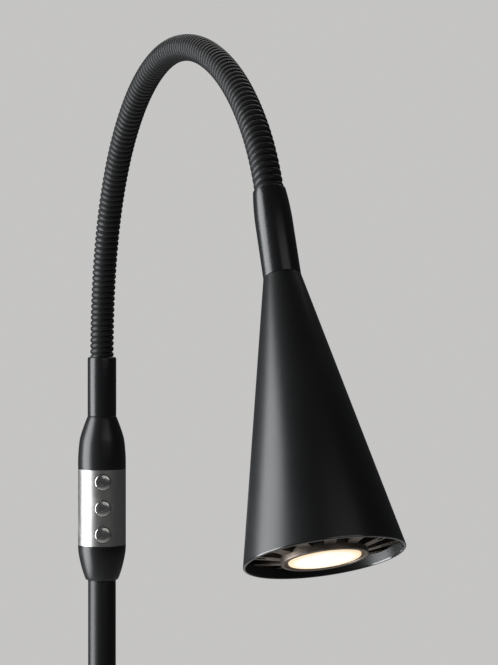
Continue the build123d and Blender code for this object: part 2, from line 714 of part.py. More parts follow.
def head_collar():
    """The turned collar that grips the neck's end."""
    seat = NECK_END_LENGTH + LOOSE
    bore = NECK_END_RADIUS + SLIP
    thread = NIPPLE_RADIUS + THREAD
    return HEAD * lathe(
        (COLLAR_MOUTH_RADIUS, 0),
        (COLLAR_RADIUS, COLLAR_SHOULDER),
        (COLLAR_RADIUS, SEAM - SEAM_BEVEL),
        (COLLAR_RADIUS - SEAM_BEVEL, SEAM),
        (thread, SEAM),
        (thread, SEAM - NIPPLE_IN_COLLAR),
        (COLLAR_BORE_RADIUS, SEAM - NIPPLE_IN_COLLAR),
        (COLLAR_BORE_RADIUS, seat),
        (bore, seat),
        (bore, 0),
    )


def head_nipple():
    """The hollow threaded tube that joins collar, shade and lamp holder."""
    return HEAD * tube(NIPPLE_RADIUS, COLLAR_BORE_RADIUS, SEAM - NIPPLE_IN_COLLAR,
                       SEAM + NIPPLE_IN_SHADE)


def shade():
    """The straight-sided cone, solid at its top where the nipple passes."""
    inner_top = shade_radius(SEAM + SHADE_BOSS) - SHADE_WALL_ACROSS
    return HEAD * lathe(
        (COLLAR_RADIUS - SEAM_BEVEL, SEAM),
        (shade_radius(SEAM + SEAM_BEVEL), SEAM + SEAM_BEVEL),
        (MOUTH_RADIUS, MOUTH),
        (MOUTH_RADIUS - SHADE_WALL_ACROSS, MOUTH),
        (inner_top, SEAM + SHADE_BOSS),
        (NIPPLE_RADIUS + THREAD, SEAM + SHADE_BOSS),
        (NIPPLE_RADIUS + THREAD, SEAM),
    )


def shade_nut():
    low = SEAM + SHADE_BOSS
    return HEAD * hexagon(HEAD_NUT_HALF_WIDTH, NIPPLE_RADIUS + THREAD, low, low + NUT_HEIGHT)


def holder_tube():
    """The tube that screws on the nipple and carries the lamp holder."""
    carrier = tube(HOLDER_TUBE_RADIUS, HOLDER_TUBE_BORE, HOLDER_TUBE_TOP, HOLDER_BACK)
    thread_end = SEAM + NIPPLE_IN_SHADE
    carrier += tube(HOLDER_TUBE_BORE + HOLDER_THREAD_OVERLAP, NIPPLE_RADIUS + THREAD,
                    HOLDER_TUBE_TOP, thread_end)
    for angle in (0, 180):
        carrier -= Rot(0, 0, angle) * holder_screw(HOLDER_SCREW_RADIUS + THREAD, 0)
    return HEAD * carrier


def holder_screw(radius, sunk):
    """A grub screw through the carrier's wall, or with a wider radius its hole."""
    end = HOLDER_TUBE_RADIUS - sunk
    start = HOLDER_TUBE_BORE - HOLDER_SCREW_BITE
    middle = (HOLDER_REAR + HOLDER_BACK) / 2
    return Pos((start + end) / 2, 0, middle) * Rot(0, 90, 0) * Cylinder(radius, end - start)


def holder_screws():
    screw = holder_screw(HOLDER_SCREW_RADIUS, HOLDER_SCREW_RECESS)
    return [HEAD * Rot(0, 0, angle) * screw for angle in (0, 180)]


def pin_places():
    return [Pos(0, side * PIN_SPACING / 2, 0) for side in (-1, 1)]


def lamp_holder():
    """The ceramic holder, with a well for each of the bulb's contacts."""
    holder = rod(HOLDER_RADIUS, HOLDER_BACK, HOLDER_FRONT)
    holder += rod(HOLDER_TUBE_BORE - SLIP, HOLDER_REAR, HOLDER_BACK)
    for place in pin_places():
        low = HOLDER_BACK + CONTACT_FLOOR
        holder -= place * rod(CONTACT_RADIUS + THREAD, low, HOLDER_FRONT)
    for angle in (0, 180):
        holder -= Rot(0, 0, angle) * holder_screw(HOLDER_SCREW_RADIUS + THREAD, 0)
    return HEAD * holder


def holder_contacts():
    """The sprung brass sleeves that grip the bulb's pins."""
    low = HOLDER_BACK + CONTACT_FLOOR
    sleeve = tube(CONTACT_RADIUS, PIN_RADIUS + SLIP, low, HOLDER_FRONT - LOOSE)
    return [HEAD * place * sleeve for place in pin_places()]


# ---------------------------------------------------------------- bulb


def bulb_cap():
    """The plastic rear of the bulb, that carries its pins."""
    rear = MOUTH - BULB_LENGTH
    cap = rod(CAP_RADIUS, rear, rear + CAP_LENGTH)
    for place in pin_places():
        cap -= place * rod(PIN_RADIUS + THREAD, rear, rear + PIN_ROOT)
    return HEAD * cap


def bulb_pins():
    rear = MOUTH - BULB_LENGTH
    pin = rod(PIN_RADIUS, rear - PIN_LENGTH, rear + PIN_ROOT)
    return [HEAD * place * pin for place in pin_places()]


def petal():
    """One loop-shaped cooling fin: two thin walls joined at their outer end."""
    core_rear = MOUTH - BULB_LENGTH + CAP_LENGTH
    root = (HUB_RADIUS + CUP_RADIUS) / 2
    corners = [
        (root, MOUTH - PETAL_ROOT_RECESS),
        (BULB_RADIUS, MOUTH - RIM_RECESS),
        (BULB_RADIUS - PETAL_END * SHADE_SLOPE, MOUTH - RIM_RECESS - PETAL_END),
        (CORE_REAR_RADIUS + PETAL_REAR_REACH, core_rear + PETAL_REAR_STEP),
        (CORE_REAR_RADIUS - PETAL_ROOT_DEPTH, core_rear + PETAL_REAR_STEP),
        (root, MOUTH - CUP_DEPTH - PETAL_ROOT_DEPTH),
    ]
    side = make_face(Polyline([(r, 0, z) for r, z in corners], close=True))
    fin = extrude(side, PETAL_WIDTH / 2, both=True)
    slot_start = HUB_RADIUS + PETAL_SLOT_START
    slot_end = BULB_RADIUS - PETAL_WALL
    slot = block(slot_end - slot_start, PETAL_WIDTH - 2 * PETAL_WALL, core_rear, MOUTH)
    return fin - Pos((slot_start + slot_end) / 2, 0, 0) * slot


def bulb_heatsink():
    """The bare aluminium body: a hub that holds the lens, and a ring of petals."""
    core_rear = MOUTH - BULB_LENGTH + CAP_LENGTH
    body = lathe(
        (0, core_rear),
        (CORE_REAR_RADIUS, core_rear),
        (HUB_RADIUS, MOUTH - CUP_DEPTH),
        (HUB_RADIUS, MOUTH - HUB_RECESS),
        (CUP_RADIUS, MOUTH - HUB_RECESS),
        (CUP_RADIUS, MOUTH - CUP_DEPTH - BOARD_THICKNESS),
        (0, MOUTH - CUP_DEPTH - BOARD_THICKNESS),
    )
    fin = petal()
    fins = [Rot(0, 0, PETAL_TURN + 360 * i / PETAL_COUNT) * fin for i in range(PETAL_COUNT)]
    return HEAD * body.fuse(*fins)


def bulb_led():
    """The light source: a chip on a round board at the bottom of the cup."""
    board = rod(CUP_RADIUS - SLIP, MOUTH - CUP_DEPTH - BOARD_THICKNESS, MOUTH - CUP_DEPTH)
    return HEAD * (board + rod(CHIP_RADIUS, MOUTH - CUP_DEPTH, MOUTH - CUP_DEPTH + CHIP_HEIGHT))


def bulb_lens():
    """The glowing lens, a cone that flares from the chip to a faintly domed front."""
    back = MOUTH - CUP_DEPTH + LENS_BACK_GAP
    edge = MOUTH - LENS_DOME
    lens = lathe((0, back), (LENS_BACK_RADIUS, back), (LENS_RADIUS, edge - LENS_EDGE),
                 (LENS_RADIUS, edge), (0, edge))
    return HEAD * (lens + dome(LENS_RADIUS, edge, LENS_DOME))


def bulb_bezel():
    """The thin ring that keeps the lens in the hub."""
    front = MOUTH - HUB_RECESS - BEZEL_RECESS
    return HEAD * lathe(
        (LENS_RADIUS + SLIP, MOUTH - BEZEL_DEPTH),
        (CUP_RADIUS - SLIP, MOUTH - BEZEL_DEPTH),
        (CUP_RADIUS - SLIP, front),
        (LENS_RADIUS + SLIP, front - BEZEL_BEVEL),
    )


# ---------------------------------------------------------------- the lamp

save("base_pad", base_pad())
save("base_weight", base_weight())
save("base_cover", base_cover())
save("pole_foot", pole_foot())
save("foot_screws", *foot_screws())
save("dc_inlet", dc_inlet())
save("dc_inlet_pin", dc_inlet_pin())

save("lower_pole", lower_pole())
save("upper_pole", upper_pole())
save("pole_coupler", pole_coupler())
save("pole_plug", pole_plug())
save("pole_nut", pole_nut())
save("supply_lead", lead(supply_route()))

save("switch_lower_shell", switch_lower_shell())
save("switch_upper_shell", switch_upper_shell())
save("switch_ties", *switch_ties())
save("switch_band", switch_band())
save("switch_chassis", switch_chassis())
save("switch_board", switch_board())
save("key_switches", *key_switches())
for name, height in zip(("lower_button", "middle_button", "upper_button"), BUTTON_HEIGHTS):
    save(name, button(height))

save("neck_sleeve", neck_sleeve())
save("sleeve_nut", sleeve_nut())
for number in range(LINK_COUNT):
    save(f"neck_link_{number + 1:02d}", neck_link(number))
save("neck_lead", lead(neck_route()))

save("head_collar", head_collar())
save("head_nipple", head_nipple())
save("shade", shade())
save("shade_nut", shade_nut())
save("holder_tube", holder_tube())
save("holder_screws", *holder_screws())
save("lamp_holder", lamp_holder())
save("holder_contacts", *holder_contacts())

save("bulb_cap", bulb_cap())
save("bulb_pins", *bulb_pins())
save("bulb_heatsink", bulb_heatsink())
save("bulb_led", bulb_led())
save("bulb_lens", bulb_lens())
save("bulb_bezel", bulb_bezel())

for name, route in (("supply lead", supply_route()), ("neck lead", neck_route())):
    by_length = pi * LEAD_RADIUS**2 * route.length
    print(f"{name}: volume {lead(route).volume:.0f}, section times length {by_length:.0f}")
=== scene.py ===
"""Gooseneck reading floor lamp: its looks, light and camera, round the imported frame."""

from math import atan2, cos, hypot, pi, radians, sin

import bmesh
import bpy
from mathutils import Matrix, Vector


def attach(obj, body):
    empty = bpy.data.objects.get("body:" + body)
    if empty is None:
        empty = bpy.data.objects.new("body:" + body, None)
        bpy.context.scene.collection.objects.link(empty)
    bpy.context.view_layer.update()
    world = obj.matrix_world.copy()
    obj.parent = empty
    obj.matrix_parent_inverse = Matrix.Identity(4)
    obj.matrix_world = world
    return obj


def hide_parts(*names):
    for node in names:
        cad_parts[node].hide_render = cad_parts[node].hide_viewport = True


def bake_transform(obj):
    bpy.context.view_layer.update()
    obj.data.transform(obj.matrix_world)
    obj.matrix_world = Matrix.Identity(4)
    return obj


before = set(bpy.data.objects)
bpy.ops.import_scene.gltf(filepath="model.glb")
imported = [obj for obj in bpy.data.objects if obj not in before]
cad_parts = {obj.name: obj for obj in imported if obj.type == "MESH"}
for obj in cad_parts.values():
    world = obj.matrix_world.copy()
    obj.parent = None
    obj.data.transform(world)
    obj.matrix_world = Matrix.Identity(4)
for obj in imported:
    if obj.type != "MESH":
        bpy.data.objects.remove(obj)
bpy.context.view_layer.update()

MM = 0.001

# ---------------------------------------------------------------- sizes, in millimetres

SLIP = 0.1  # round a piece that slips into another

BASE_RADIUS = 115.0
PAD_RADIUS = 107.0
PAD_TOP = 2.0
COVER_WALL = 1.2
COVER_ROLL = 6.0
COVER_SKIRT = 1.5
WEIGHT_TOP = 20.0
COVER_TOP = WEIGHT_TOP + COVER_WALL
INLET_HEIGHT = 9.0
INLET_NOSE = 4.0
INLET_BORE = 2.8
INLET_BORE_DEPTH = 9.0
INLET_PIN = 1.0
INLET_PIN_HOLE = 1.05
INLET_BODY = (10.0, 12.8, 11.0)
INLET_FRONT = BASE_RADIUS - COVER_WALL - 1.8
INLET_BODY_SETBACK = 8.6  # the body's middle, behind the inlet's front
INLET_MOUTH = BASE_RADIUS + 0.6

POLE_RADIUS = 6.2
POLE_BORE = 5.2
POLE_BOTTOM = COVER_TOP + 8.0
POLE_JOINT = POLE_BOTTOM + 510.0
POLE_TOP = POLE_JOINT + 510.0
FOOT_BORE = 5.0
FOOT_SPIGOT = 19.8
FOOT_FLANGE = 23.0
FOOT_TOP = COVER_TOP + 28.0

SWITCH_TURN = radians(-16.0)
SWITCH_RADIUS = 10.7
SWITCH_BOTTOM = POLE_TOP - 10.5
SWITCH_CAVITY = 6.6
LOWER_END_RADIUS = 7.2
LOWER_TAPER = 13.9
UPPER_TAPER = 15.6
TAPER_SWELL = 1.0  # how far each taper's middle stands out from a straight line
LOWER_TAPER_TOP = SWITCH_BOTTOM + LOWER_TAPER
BAND_BOTTOM = LOWER_TAPER_TOP + 1.8
BAND_TOP = BAND_BOTTOM + 33.8
UPPER_TAPER_BOTTOM = BAND_TOP + 8.0
SLEEVE_BOTTOM = UPPER_TAPER_BOTTOM + UPPER_TAPER
SLEEVE_TOP = SLEEVE_BOTTOM + 26.5
SLEEVE_RADIUS = 6.4
SLEEVE_SPIGOT = 5.3
BAND_WALL = 1.2
BUTTON_PITCH = 11.6
BUTTON_RADIUS = 3.5
BUTTON_EDGE = 0.3  # how far the cap's rim stands out of the band
FLANGE_RADIUS = 4.0
FLANGE_DEPTH = 2.7
FLANGE_THICKNESS = 1.2
STEM_RADIUS = 1.5
STEM_LENGTH = 2.0
BUTTON_GAP = 0.2
BUTTONS = ("lower_button", "middle_button", "upper_button")

NECK_RADIUS = 5.25
NECK_BENDS = (8.1, 11.2, 14.7, 17.6, 20.0, 20.8, 16.8, 14.5, 15.6, 19.3)  # degrees, link by link
NECK_LEANS = (0, 0, 0, 0, 0, 0, 0, -0.2, -0.2, -0.2)  # degrees, towards +X
LINKS = len(NECK_BENDS)
LINK_LENGTH = 29.52
NECK_LENGTH = LINKS * LINK_LENGTH
NECK_TURNS = 117  # turns of the neck's winding between sleeve and collar
TURNS_IN_SLEEVE = 2
TURNS_IN_COLLAR = 1
TURN_STEPS = 48  # round each turn
TURN_POINTS = 12  # across each turn
RIB_DEPTH = 0.6
RIB_SHARE = 0.8  # of the pitch, the wire; the rest is groove
NECK_END = 4.4  # what of the neck is sunk in sleeve and collar
NECK_SOCKET = NECK_RADIUS + 0.12
LEAD_RADIUS = 1.5
LEAD_WAY = 2.6  # the bore that the lead passes through
LEAD_STEP = 2.5
LEAD_START = BAND_TOP - 9.0 - SLEEVE_TOP  # along the neck, from the sleeve

COLLAR_RADIUS = 6.6
SEAM = 32.9
NIPPLE_HOLE = 4.05
NIPPLE_DEPTH = 10.0  # in the collar
SHADE_CROWN = 7.0
MOUTH = SEAM + 99.8
MOUTH_RADIUS = 27.0
LEAD_END = NECK_LENGTH + MOUTH - 62.3
SHADE_WALL = 0.82
SHADE_SLOPE = (MOUTH_RADIUS - COLLAR_RADIUS) / (MOUTH - SEAM)

BULB_RADIUS = 25.0
HUB_RADIUS = 14.5
LENS_RADIUS = 12.0
CUP_RADIUS = 13.1
CUP_DEPTH = 9.0
LENS_OUT = 0.8  # how far hub, lens and bezel stand further out than in the CAD
BEZEL_GAP = 0.08
CORE_REAR = 34.0  # the core's and the petals' rear ends, behind the mouth
CORE_REAR_RADIUS = 10.0
PETAL_REAR = 33.5
PETAL_REAR_RADIUS = 11.5
PETAL_BLANK = 36.0  # each petal's depth before it is sloped off
PETAL_RECESS = 3.2  # its outer front corner, behind the mouth
PETAL_ROOT_RECESS = 1.3
PETAL_END = 2.8  # height of its outer end
PETALS = 12
PETAL_TURN = radians(16.0)
PETAL_WIDTH = 3.8
PETAL_WALL = 1.1
PETAL_SLOT = HUB_RADIUS + 4.5  # where each petal splits into two walls

ROUND = 96  # steps in a full turn

CAMERA_PLACE = (-251.93, -770.23, SLEEVE_TOP + 10.95)
CAMERA_TURN = -22.776  # degrees
CAMERA_LENS = 97.56
CAMERA_FRAME = 36.0  # along the picture's long side


# ---------------------------------------------------------------- places

def turn(angle, axis):
    return Matrix.Rotation(angle, 4, axis)


def move(x, y, z):
    return Matrix.Translation(Vector((x, y, z)) * MM)


def arc_step(length, bend, lean):
    """Where a bent piece of the neck leads."""
    angle = radians(hypot(bend, lean))
    towards = atan2(lean, bend)
    radius = length / angle
    along = move(0, -radius * (1 - cos(angle)), radius * sin(angle))
    return turn(towards, "Z") @ along @ turn(angle, "X") @ turn(-towards, "Z")


JOINTS = [move(0, 0, SLEEVE_TOP)]
for bend, lean in zip(NECK_BENDS, NECK_LEANS):
    JOINTS.append(JOINTS[-1] @ arc_step(LINK_LENGTH, bend, lean))
HEAD = JOINTS[-1]
FRONT = turn(SWITCH_TURN, "Z")
INLET_PLACE = move(0, 0, INLET_HEIGHT) @ turn(-pi / 2, "X")  # its Z runs out of the socket


def along_neck(distance):
    """The frame on the neck's centre line, this far from the sleeve."""
    if distance <= 0:
        return JOINTS[0] @ move(0, 0, distance)
    if distance >= NECK_LENGTH:
        return HEAD @ move(0, 0, distance - NECK_LENGTH)
    link = min(int(distance / LINK_LENGTH), LINKS - 1)
    part = distance - link * LINK_LENGTH
    share = part / LINK_LENGTH
    if share < 1e-9:
        return JOINTS[link]
    return JOINTS[link] @ arc_step(part, NECK_BENDS[link] * share, NECK_LEANS[link] * share)


# ---------------------------------------------------------------- shaders

class Value:
    """A socket inside a material, with arithmetic that adds its own nodes."""

    def __init__(self, paint, socket):
        self.paint = paint
        self.socket = socket

    def math(self, operation, first, second):
        return self.paint.node("ShaderNodeMath", {"operation": operation}, first, second)

    def __add__(self, other):
        return self.math("ADD", self, other)

    __radd__ = __add__

    def __sub__(self, other):
        return self.math("SUBTRACT", self, other)

    def __rsub__(self, other):
        return self.math("SUBTRACT", other, self)

    def __mul__(self, other):
        return self.math("MULTIPLY", self, other)

    __rmul__ = __mul__

    def span(self, low, high):
        """This value's stretch from low to high, eased, as 0 to 1."""
        settings = {"interpolation_type": "SMOOTHSTEP"}
        return self.paint.node("ShaderNodeMapRange", settings, self, low, high, 0.0, 1.0)


class Paint:
    """A material that is being written."""

    def __init__(self, name):
        self.material = bpy.data.materials.new(name)
        self.material.use_nodes = True
        self.tree = self.material.node_tree
        self.tree.nodes.clear()

    def node(self, kind, settings, *inputs, output=0):
        made = self.tree.nodes.new(kind)
        for key, setting in settings.items():
            setattr(made, key, setting)
        for place, given in enumerate(inputs):
            self.feed(made.inputs[place], given)
        return Value(self, made.outputs[output])

    def named(self, kind, settings, inputs, output=0):
        made = self.node(kind, settings, output=output)
        for name, given in inputs.items():
            self.feed(made.socket.node.inputs[name], given)
        return made

    def feed(self, socket, given):
        if given is None:
            return
        if isinstance(given, Value):
            self.tree.links.new(given.socket, socket)
        else:
            socket.default_value = given

    def here(self, stretch=(1, 1, 1), place=None):
        """Object coordinates, in metres, or in a piece's own turned frame."""
        point = self.node("ShaderNodeTexCoord", {}, output=3)
        if place is None and stretch == (1, 1, 1):
            return point
        if place is not None:
            back = place.inverted()
            point = self.node("ShaderNodeMapping", {"vector_type": "POINT"}, point,
                              back.to_translation(), back.to_euler())
        return self.node("ShaderNodeMapping", {"vector_type": "POINT"}, point,
                         None, None, stretch)

    def noise(self, point, scale, detail=3.0, roughness=0.5, distortion=0.0):
        return self.named("ShaderNodeTexNoise", {}, {
            "Vector": point, "Scale": scale, "Detail": detail,
            "Roughness": roughness, "Distortion": distortion})

    def cells(self, point, scale, feature="F1"):
        return self.named("ShaderNodeTexVoronoi", {"feature": feature},
                          {"Vector": point, "Scale": scale})

    def mix(self, factor, first, second):
        """Between two colours."""
        made = self.tree.nodes.new("ShaderNodeMix")
        made.data_type = "RGBA"
        self.feed(made.inputs[0], factor)
        for place, given in ((6, first), (7, second)):
            self.feed(made.inputs[place], given if isinstance(given, Value) else (*given, 1))
        return Value(self, made.outputs[2])

    def bump(self, height, depth):
        """A normal from a height of 0 to 1 that stands for this depth in millimetres."""
        return self.named("ShaderNodeBump", {}, {
            "Strength": 1.0, "Distance": depth * MM, "Height": height})

    def finish(self, **sockets):
        """The surface: a Principled shader with these sockets."""
        shader = self.tree.nodes.new("ShaderNodeBsdfPrincipled")
        for name, given in sockets.items():
            socket = shader.inputs[name.replace("_", " ")]
            if not isinstance(given, Value) and socket.type == "RGBA":
                given = (*given, 1)
            self.feed(socket, given)
        end = self.tree.nodes.new("ShaderNodeOutputMaterial")
        self.tree.links.new(shader.outputs[0], end.inputs[0])
        return self.material


def powder_coat(name, colour, roughness, grain, rubbed=None):
    """Baked black powder: a fine orange peel, soft patches of gloss and a little
    dust. It can be rubbed smooth past a distance along the head."""
    paint = Paint(name)
    point = paint.here()
    peel = paint.noise(point, 3200, 2.0, 0.55)
    swell = paint.noise(point, 420, 2.0, 0.5)
    patches = paint.noise(point, 26, 3.0, 0.6)
    dust = paint.cells(point, 900).span(0.16, 0.05)
    dust = dust * paint.noise(point, 70, 2.0).span(0.62, 0.78)
    tone = paint.mix(patches.span(0.3, 0.7), [c * 0.9 for c in colour], [c * 1.12 for c in colour])
    tone = paint.mix(dust * 0.35, tone, (0.16, 0.155, 0.15))
    gloss = roughness + (patches - 0.5) * 0.07 + (peel - 0.5) * 0.1 + dust * 0.2
    worn = 0.0
    if rubbed is not None:
        apart = paint.node("ShaderNodeSeparateXYZ", {}, paint.here(place=HEAD), output=2)
        worn = apart.span((rubbed - 0.25) * MM, rubbed * MM)
        gloss = gloss - worn * 0.2
    normal = paint.bump(peel * 0.7 + swell * 0.3, grain)
    return paint.finish(Base_Color=tone, Roughness=gloss, Normal=normal, Specular_IOR_Level=0.42,
                        Coat_Weight=worn, Coat_Roughness=0.16)


def satin_black(name, colour, roughness, place=None):
    """Turned metal in a smooth satin lacquer, with faint turning marks under it."""
    paint = Paint(name)
    point = paint.here(place=place)
    fine = paint.noise(point, 1500, 2.0, 0.5)
    patches = paint.noise(point, 35, 3.0, 0.6)
    marks = paint.noise(paint.here((0.6, 0.6, 260), place), 9, 2.0, 0.6)
    specks = paint.cells(point, 700).span(0.13, 0.05) * paint.noise(point, 50, 2.0).span(0.6, 0.75)
    tone = paint.mix(patches.span(0.3, 0.7), [c * 0.9 for c in colour], [c * 1.15 for c in colour])
    tone = paint.mix(specks * 0.3, tone, (0.15, 0.15, 0.15))
    gloss = roughness + (patches - 0.5) * 0.08 + (marks - 0.5) * 0.04 + specks * 0.2
    normal = paint.bump(fine * 0.7 + marks * 0.3, 0.0008)
    return paint.finish(Base_Color=tone, Roughness=gloss, Normal=normal, Specular_IOR_Level=0.5)


def neck_black():
    """The wound neck: rubbed a little bright on its crests; its grooves are rougher, and painted shade
    darkens them nearly to black.
    """
    paint = Paint("neck_wound_black")
    point = paint.here()
    height = paint.named("ShaderNodeAttribute", {"attribute_name": "rib_height"}, {}, output=2)
    fine = paint.noise(point, 2600, 2.0, 0.55)
    patches = paint.noise(point, 60, 3.0, 0.6)
    rubbed = height.span(0.72, 1.0) * patches.span(0.4, 0.7)
    # the grooves' mask: it makes them rougher and paints shade into them
    groove = height.span(0.4, 0.0)
    tone = paint.mix(rubbed * 0.5, (0.011, 0.011, 0.0115), (0.022, 0.022, 0.023))
    # painted shade: the grooves darkened nearly to black
    tone = paint.mix(groove, tone, (0.004, 0.004, 0.004))
    gloss = 0.44 - rubbed * 0.08 + groove * 0.35 + (fine - 0.5) * 0.1
    normal = paint.bump(fine, 0.004)
    return paint.finish(Base_Color=tone, Roughness=gloss, Normal=normal, Specular_IOR_Level=0.3)


def satin_chrome(name, colour, roughness, grain_along):
    """Plated metal, finely brushed round or across, with a few finger marks."""
    paint = Paint(name)
    point = paint.here()
    brushing = paint.noise(paint.here(grain_along), 900, 3.0, 0.6)
    smudges = paint.noise(point, 90, 3.0, 0.6, 0.6).span(0.45, 0.7)
    tone = paint.mix(smudges * 0.3, colour, [c * 0.88 for c in colour])
    gloss = roughness + (brushing - 0.5) * 0.14 + smudges * 0.08
    normal = paint.bump(brushing, 0.0012)
    return paint.finish(Base_Color=tone, Metallic=1.0, Roughness=gloss, Normal=normal)


def cast_metal(name, colour, dark, roughness, grain, metallic=1.0):
    """Bare cast metal: pitted, blotched, and darker where it is rough."""
    paint = Paint(name)
    point = paint.here()
    pits = paint.cells(point, 1300).span(0.1, 0.5)
    fine = paint.noise(point, 1900, 4.0, 0.65)
    blotches = paint.noise(point, 130, 4.0, 0.6)
    tone = paint.mix(blotches.span(0.32, 0.7), dark, colour)
    tone = paint.mix(fine.span(0.55, 0.8) * 0.35, tone, [c * 0.6 for c in dark])
    gloss = roughness + (fine - 0.5) * 0.25 + (blotches - 0.5) * 0.12
    normal = paint.bump(pits * 0.5 + fine * 0.5, grain)
    return paint.finish(Base_Color=tone, Metallic=metallic, Roughness=gloss, Normal=normal)


def moulded(name, colour, roughness=0.45, grain=0.012):
    """Moulded plastic or ceramic with a fine even texture."""
    paint = Paint(name)
    point = paint.here()
    texture = paint.noise(point, 1600, 3.0, 0.6)
    cloud = paint.noise(point, 80, 3.0, 0.55)
    tone = paint.mix(cloud.span(0.3, 0.7), [c * 0.9 for c in colour], [min(c * 1.08, 1) for c in colour])
    gloss = roughness + (texture - 0.5) * 0.2 + (cloud - 0.5) * 0.08
    normal = paint.bump(texture, grain)
    return paint.finish(Base_Color=tone, Roughness=gloss, Normal=normal)


def machined(name, colour):
    """Turned or plated steel and brass, with fine rings and dull patches."""
    paint = Paint(name)
    point = paint.here()
    rings = paint.noise(paint.here((0.4, 0.4, 300)), 8, 3.0, 0.6)
    dull = paint.noise(point, 120, 4.0, 0.6).span(0.4, 0.7)
    tone = paint.mix(dull * 0.6, colour, [c * 0.6 for c in colour])
    gloss = 0.3 + (rings - 0.5) * 0.15 + dull * 0.15
    normal = paint.bump(rings, 0.003)
    return paint.finish(Base_Color=tone, Metallic=1.0, Roughness=gloss, Normal=normal)


def soft_pad():
    """The dimpled foam rubber under the base."""
    paint = Paint("pad_foam_rubber")
    point = paint.here()
    dimples = paint.cells(point, 620).span(0.05, 0.45)
    cloud = paint.noise(point, 60, 3.0, 0.6)
    tone = paint.mix(cloud.span(0.3, 0.7), (0.012, 0.012, 0.012), (0.028, 0.027, 0.026))
    normal = paint.bump(dimples, 0.08)
    return paint.finish(Base_Color=tone, Roughness=0.85 - dimples * 0.1, Normal=normal)


def circuit_board():
    """Green solder mask with pale tracks and pads."""
    paint = Paint("board_solder_mask")
    point = paint.here(place=FRONT)
    tracks = paint.cells(paint.here((1, 0.2, 2.2), FRONT), 160, "DISTANCE_TO_EDGE").span(0.09, 0.05)
    pads = paint.cells(point, 260).span(0.24, 0.18)
    tone = paint.mix(tracks, (0.012, 0.075, 0.022), (0.03, 0.16, 0.05))
    tone = paint.mix(pads * 0.8, tone, (0.55, 0.54, 0.5))
    normal = paint.bump(tracks * 0.6 + pads * 0.4, 0.05)
    return paint.finish(Base_Color=tone, Roughness=0.35 + pads * 0.1, Normal=normal)


def glowing_lens():
    """The lit lens: a cream white that turns warm and a little blotched at its rim."""
    paint = Paint("lens_lit_warm_white")
    point = paint.here(place=HEAD)
    flat = paint.node("ShaderNodeVectorMath", {"operation": "MULTIPLY"}, point, (1, 1, 0))
    reach = paint.node("ShaderNodeVectorMath", {"operation": "LENGTH"}, flat, output=1)
    reach = reach * (1000 / LENS_RADIUS)
    dimples = paint.cells(point, 620, "SMOOTH_F1").span(0.0, 0.6)
    cloud = paint.noise(point, 210, 3.0, 0.6).span(0.35, 0.7)
    rim = reach.span(0.72, 1.0)
    glow = paint.mix(cloud * 0.7, (1.0, 0.96, 0.88), (1.0, 0.9, 0.74))
    glow = paint.mix(rim, glow, (0.88, 0.66, 0.42))
    glow = paint.mix(dimples * rim * 0.4, glow, (1.0, 0.78, 0.5))
    normal = paint.bump(dimples, 0.15)
    return paint.finish(Base_Color=(0.3, 0.29, 0.27), Roughness=0.25 + dimples * 0.05, Normal=normal,
                        Emission_Color=glow, Emission_Strength=1.0)


BLACK = (0.0105, 0.0105, 0.011)
FINISH = {
    "shade": powder_coat("shade_powder_black", (0.011, 0.0111, 0.0115), 0.345, 0.011, MOUTH - 0.45),
    "collar": satin_black("collar_satin_black", (0.010, 0.010, 0.0105), 0.27, HEAD),
    "sleeve": satin_black("sleeve_satin_black", (0.010, 0.010, 0.0105), 0.27),
    "neck": neck_black(),
    "pole": powder_coat("pole_powder_black", BLACK, 0.36, 0.007),
    "base": powder_coat("base_powder_black", BLACK, 0.42, 0.012),
    "shell": satin_black("switch_shell_black", (0.011, 0.011, 0.0115), 0.3),
    "band": satin_chrome("band_satin_chrome", (0.56, 0.55, 0.53), 0.36, (1, 1, 0.02)),
    "button": satin_chrome("button_satin_chrome", (0.66, 0.65, 0.63), 0.22, (0.1, 0.1, 1)),
    "heatsink": cast_metal("heatsink_bare_aluminium", (0.34, 0.285, 0.245), (0.2, 0.165, 0.14), 0.45, 0.02),
    "bezel": moulded("bezel_warm_brown", (0.16, 0.09, 0.05), 0.5),
    "lens": glowing_lens(),
    "cap": moulded("cap_moulded_white", (0.62, 0.6, 0.55), 0.5),
    "ceramic": moulded("holder_ceramic", (0.6, 0.57, 0.5), 0.6, 0.03),
    "steel": machined("steel_zinc_plated", (0.5, 0.5, 0.48)),
    "brass": machined("brass_sprung", (0.62, 0.48, 0.22)),
    "iron": cast_metal("weight_raw_casting", (0.09, 0.088, 0.085), (0.04, 0.038, 0.036), 0.65, 0.08, 0.6),
    "plastic": moulded("plastic_black_moulded", (0.016, 0.016, 0.017)),
    "white_board": moulded("board_white", (0.78, 0.77, 0.73), 0.4, 0.006),
    "sheath": moulded("lead_black_sheath", (0.013, 0.013, 0.013), 0.55, 0.01),
    "holder_black": powder_coat("holder_matt_black", BLACK, 0.55, 0.012),
    "pad": soft_pad(),
    "board": circuit_board(),
}


# ---------------------------------------------------------------- modelling

def keep(name, form, finish, body, nodes, place=None, sharp=35):
    """Make a piece of a bmesh: in its place, smooth but for its sharp corners."""
    if place is not None:
        bmesh.ops.transform(form, matrix=place, verts=form.verts)
    mesh = bpy.data.meshes.new(name)
    form.to_mesh(mesh)
    form.free()
    mesh.polygons.foreach_set("use_smooth", [True] * len(mesh.polygons))
    mesh.set_sharp_from_angle(angle=radians(sharp))
    mesh.materials.append(FINISH[finish])
    piece = bpy.data.objects.new(name, mesh)
    bpy.context.scene.collection.objects.link(piece)
    if body:
        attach(piece, body)
    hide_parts(*nodes)
    return piece


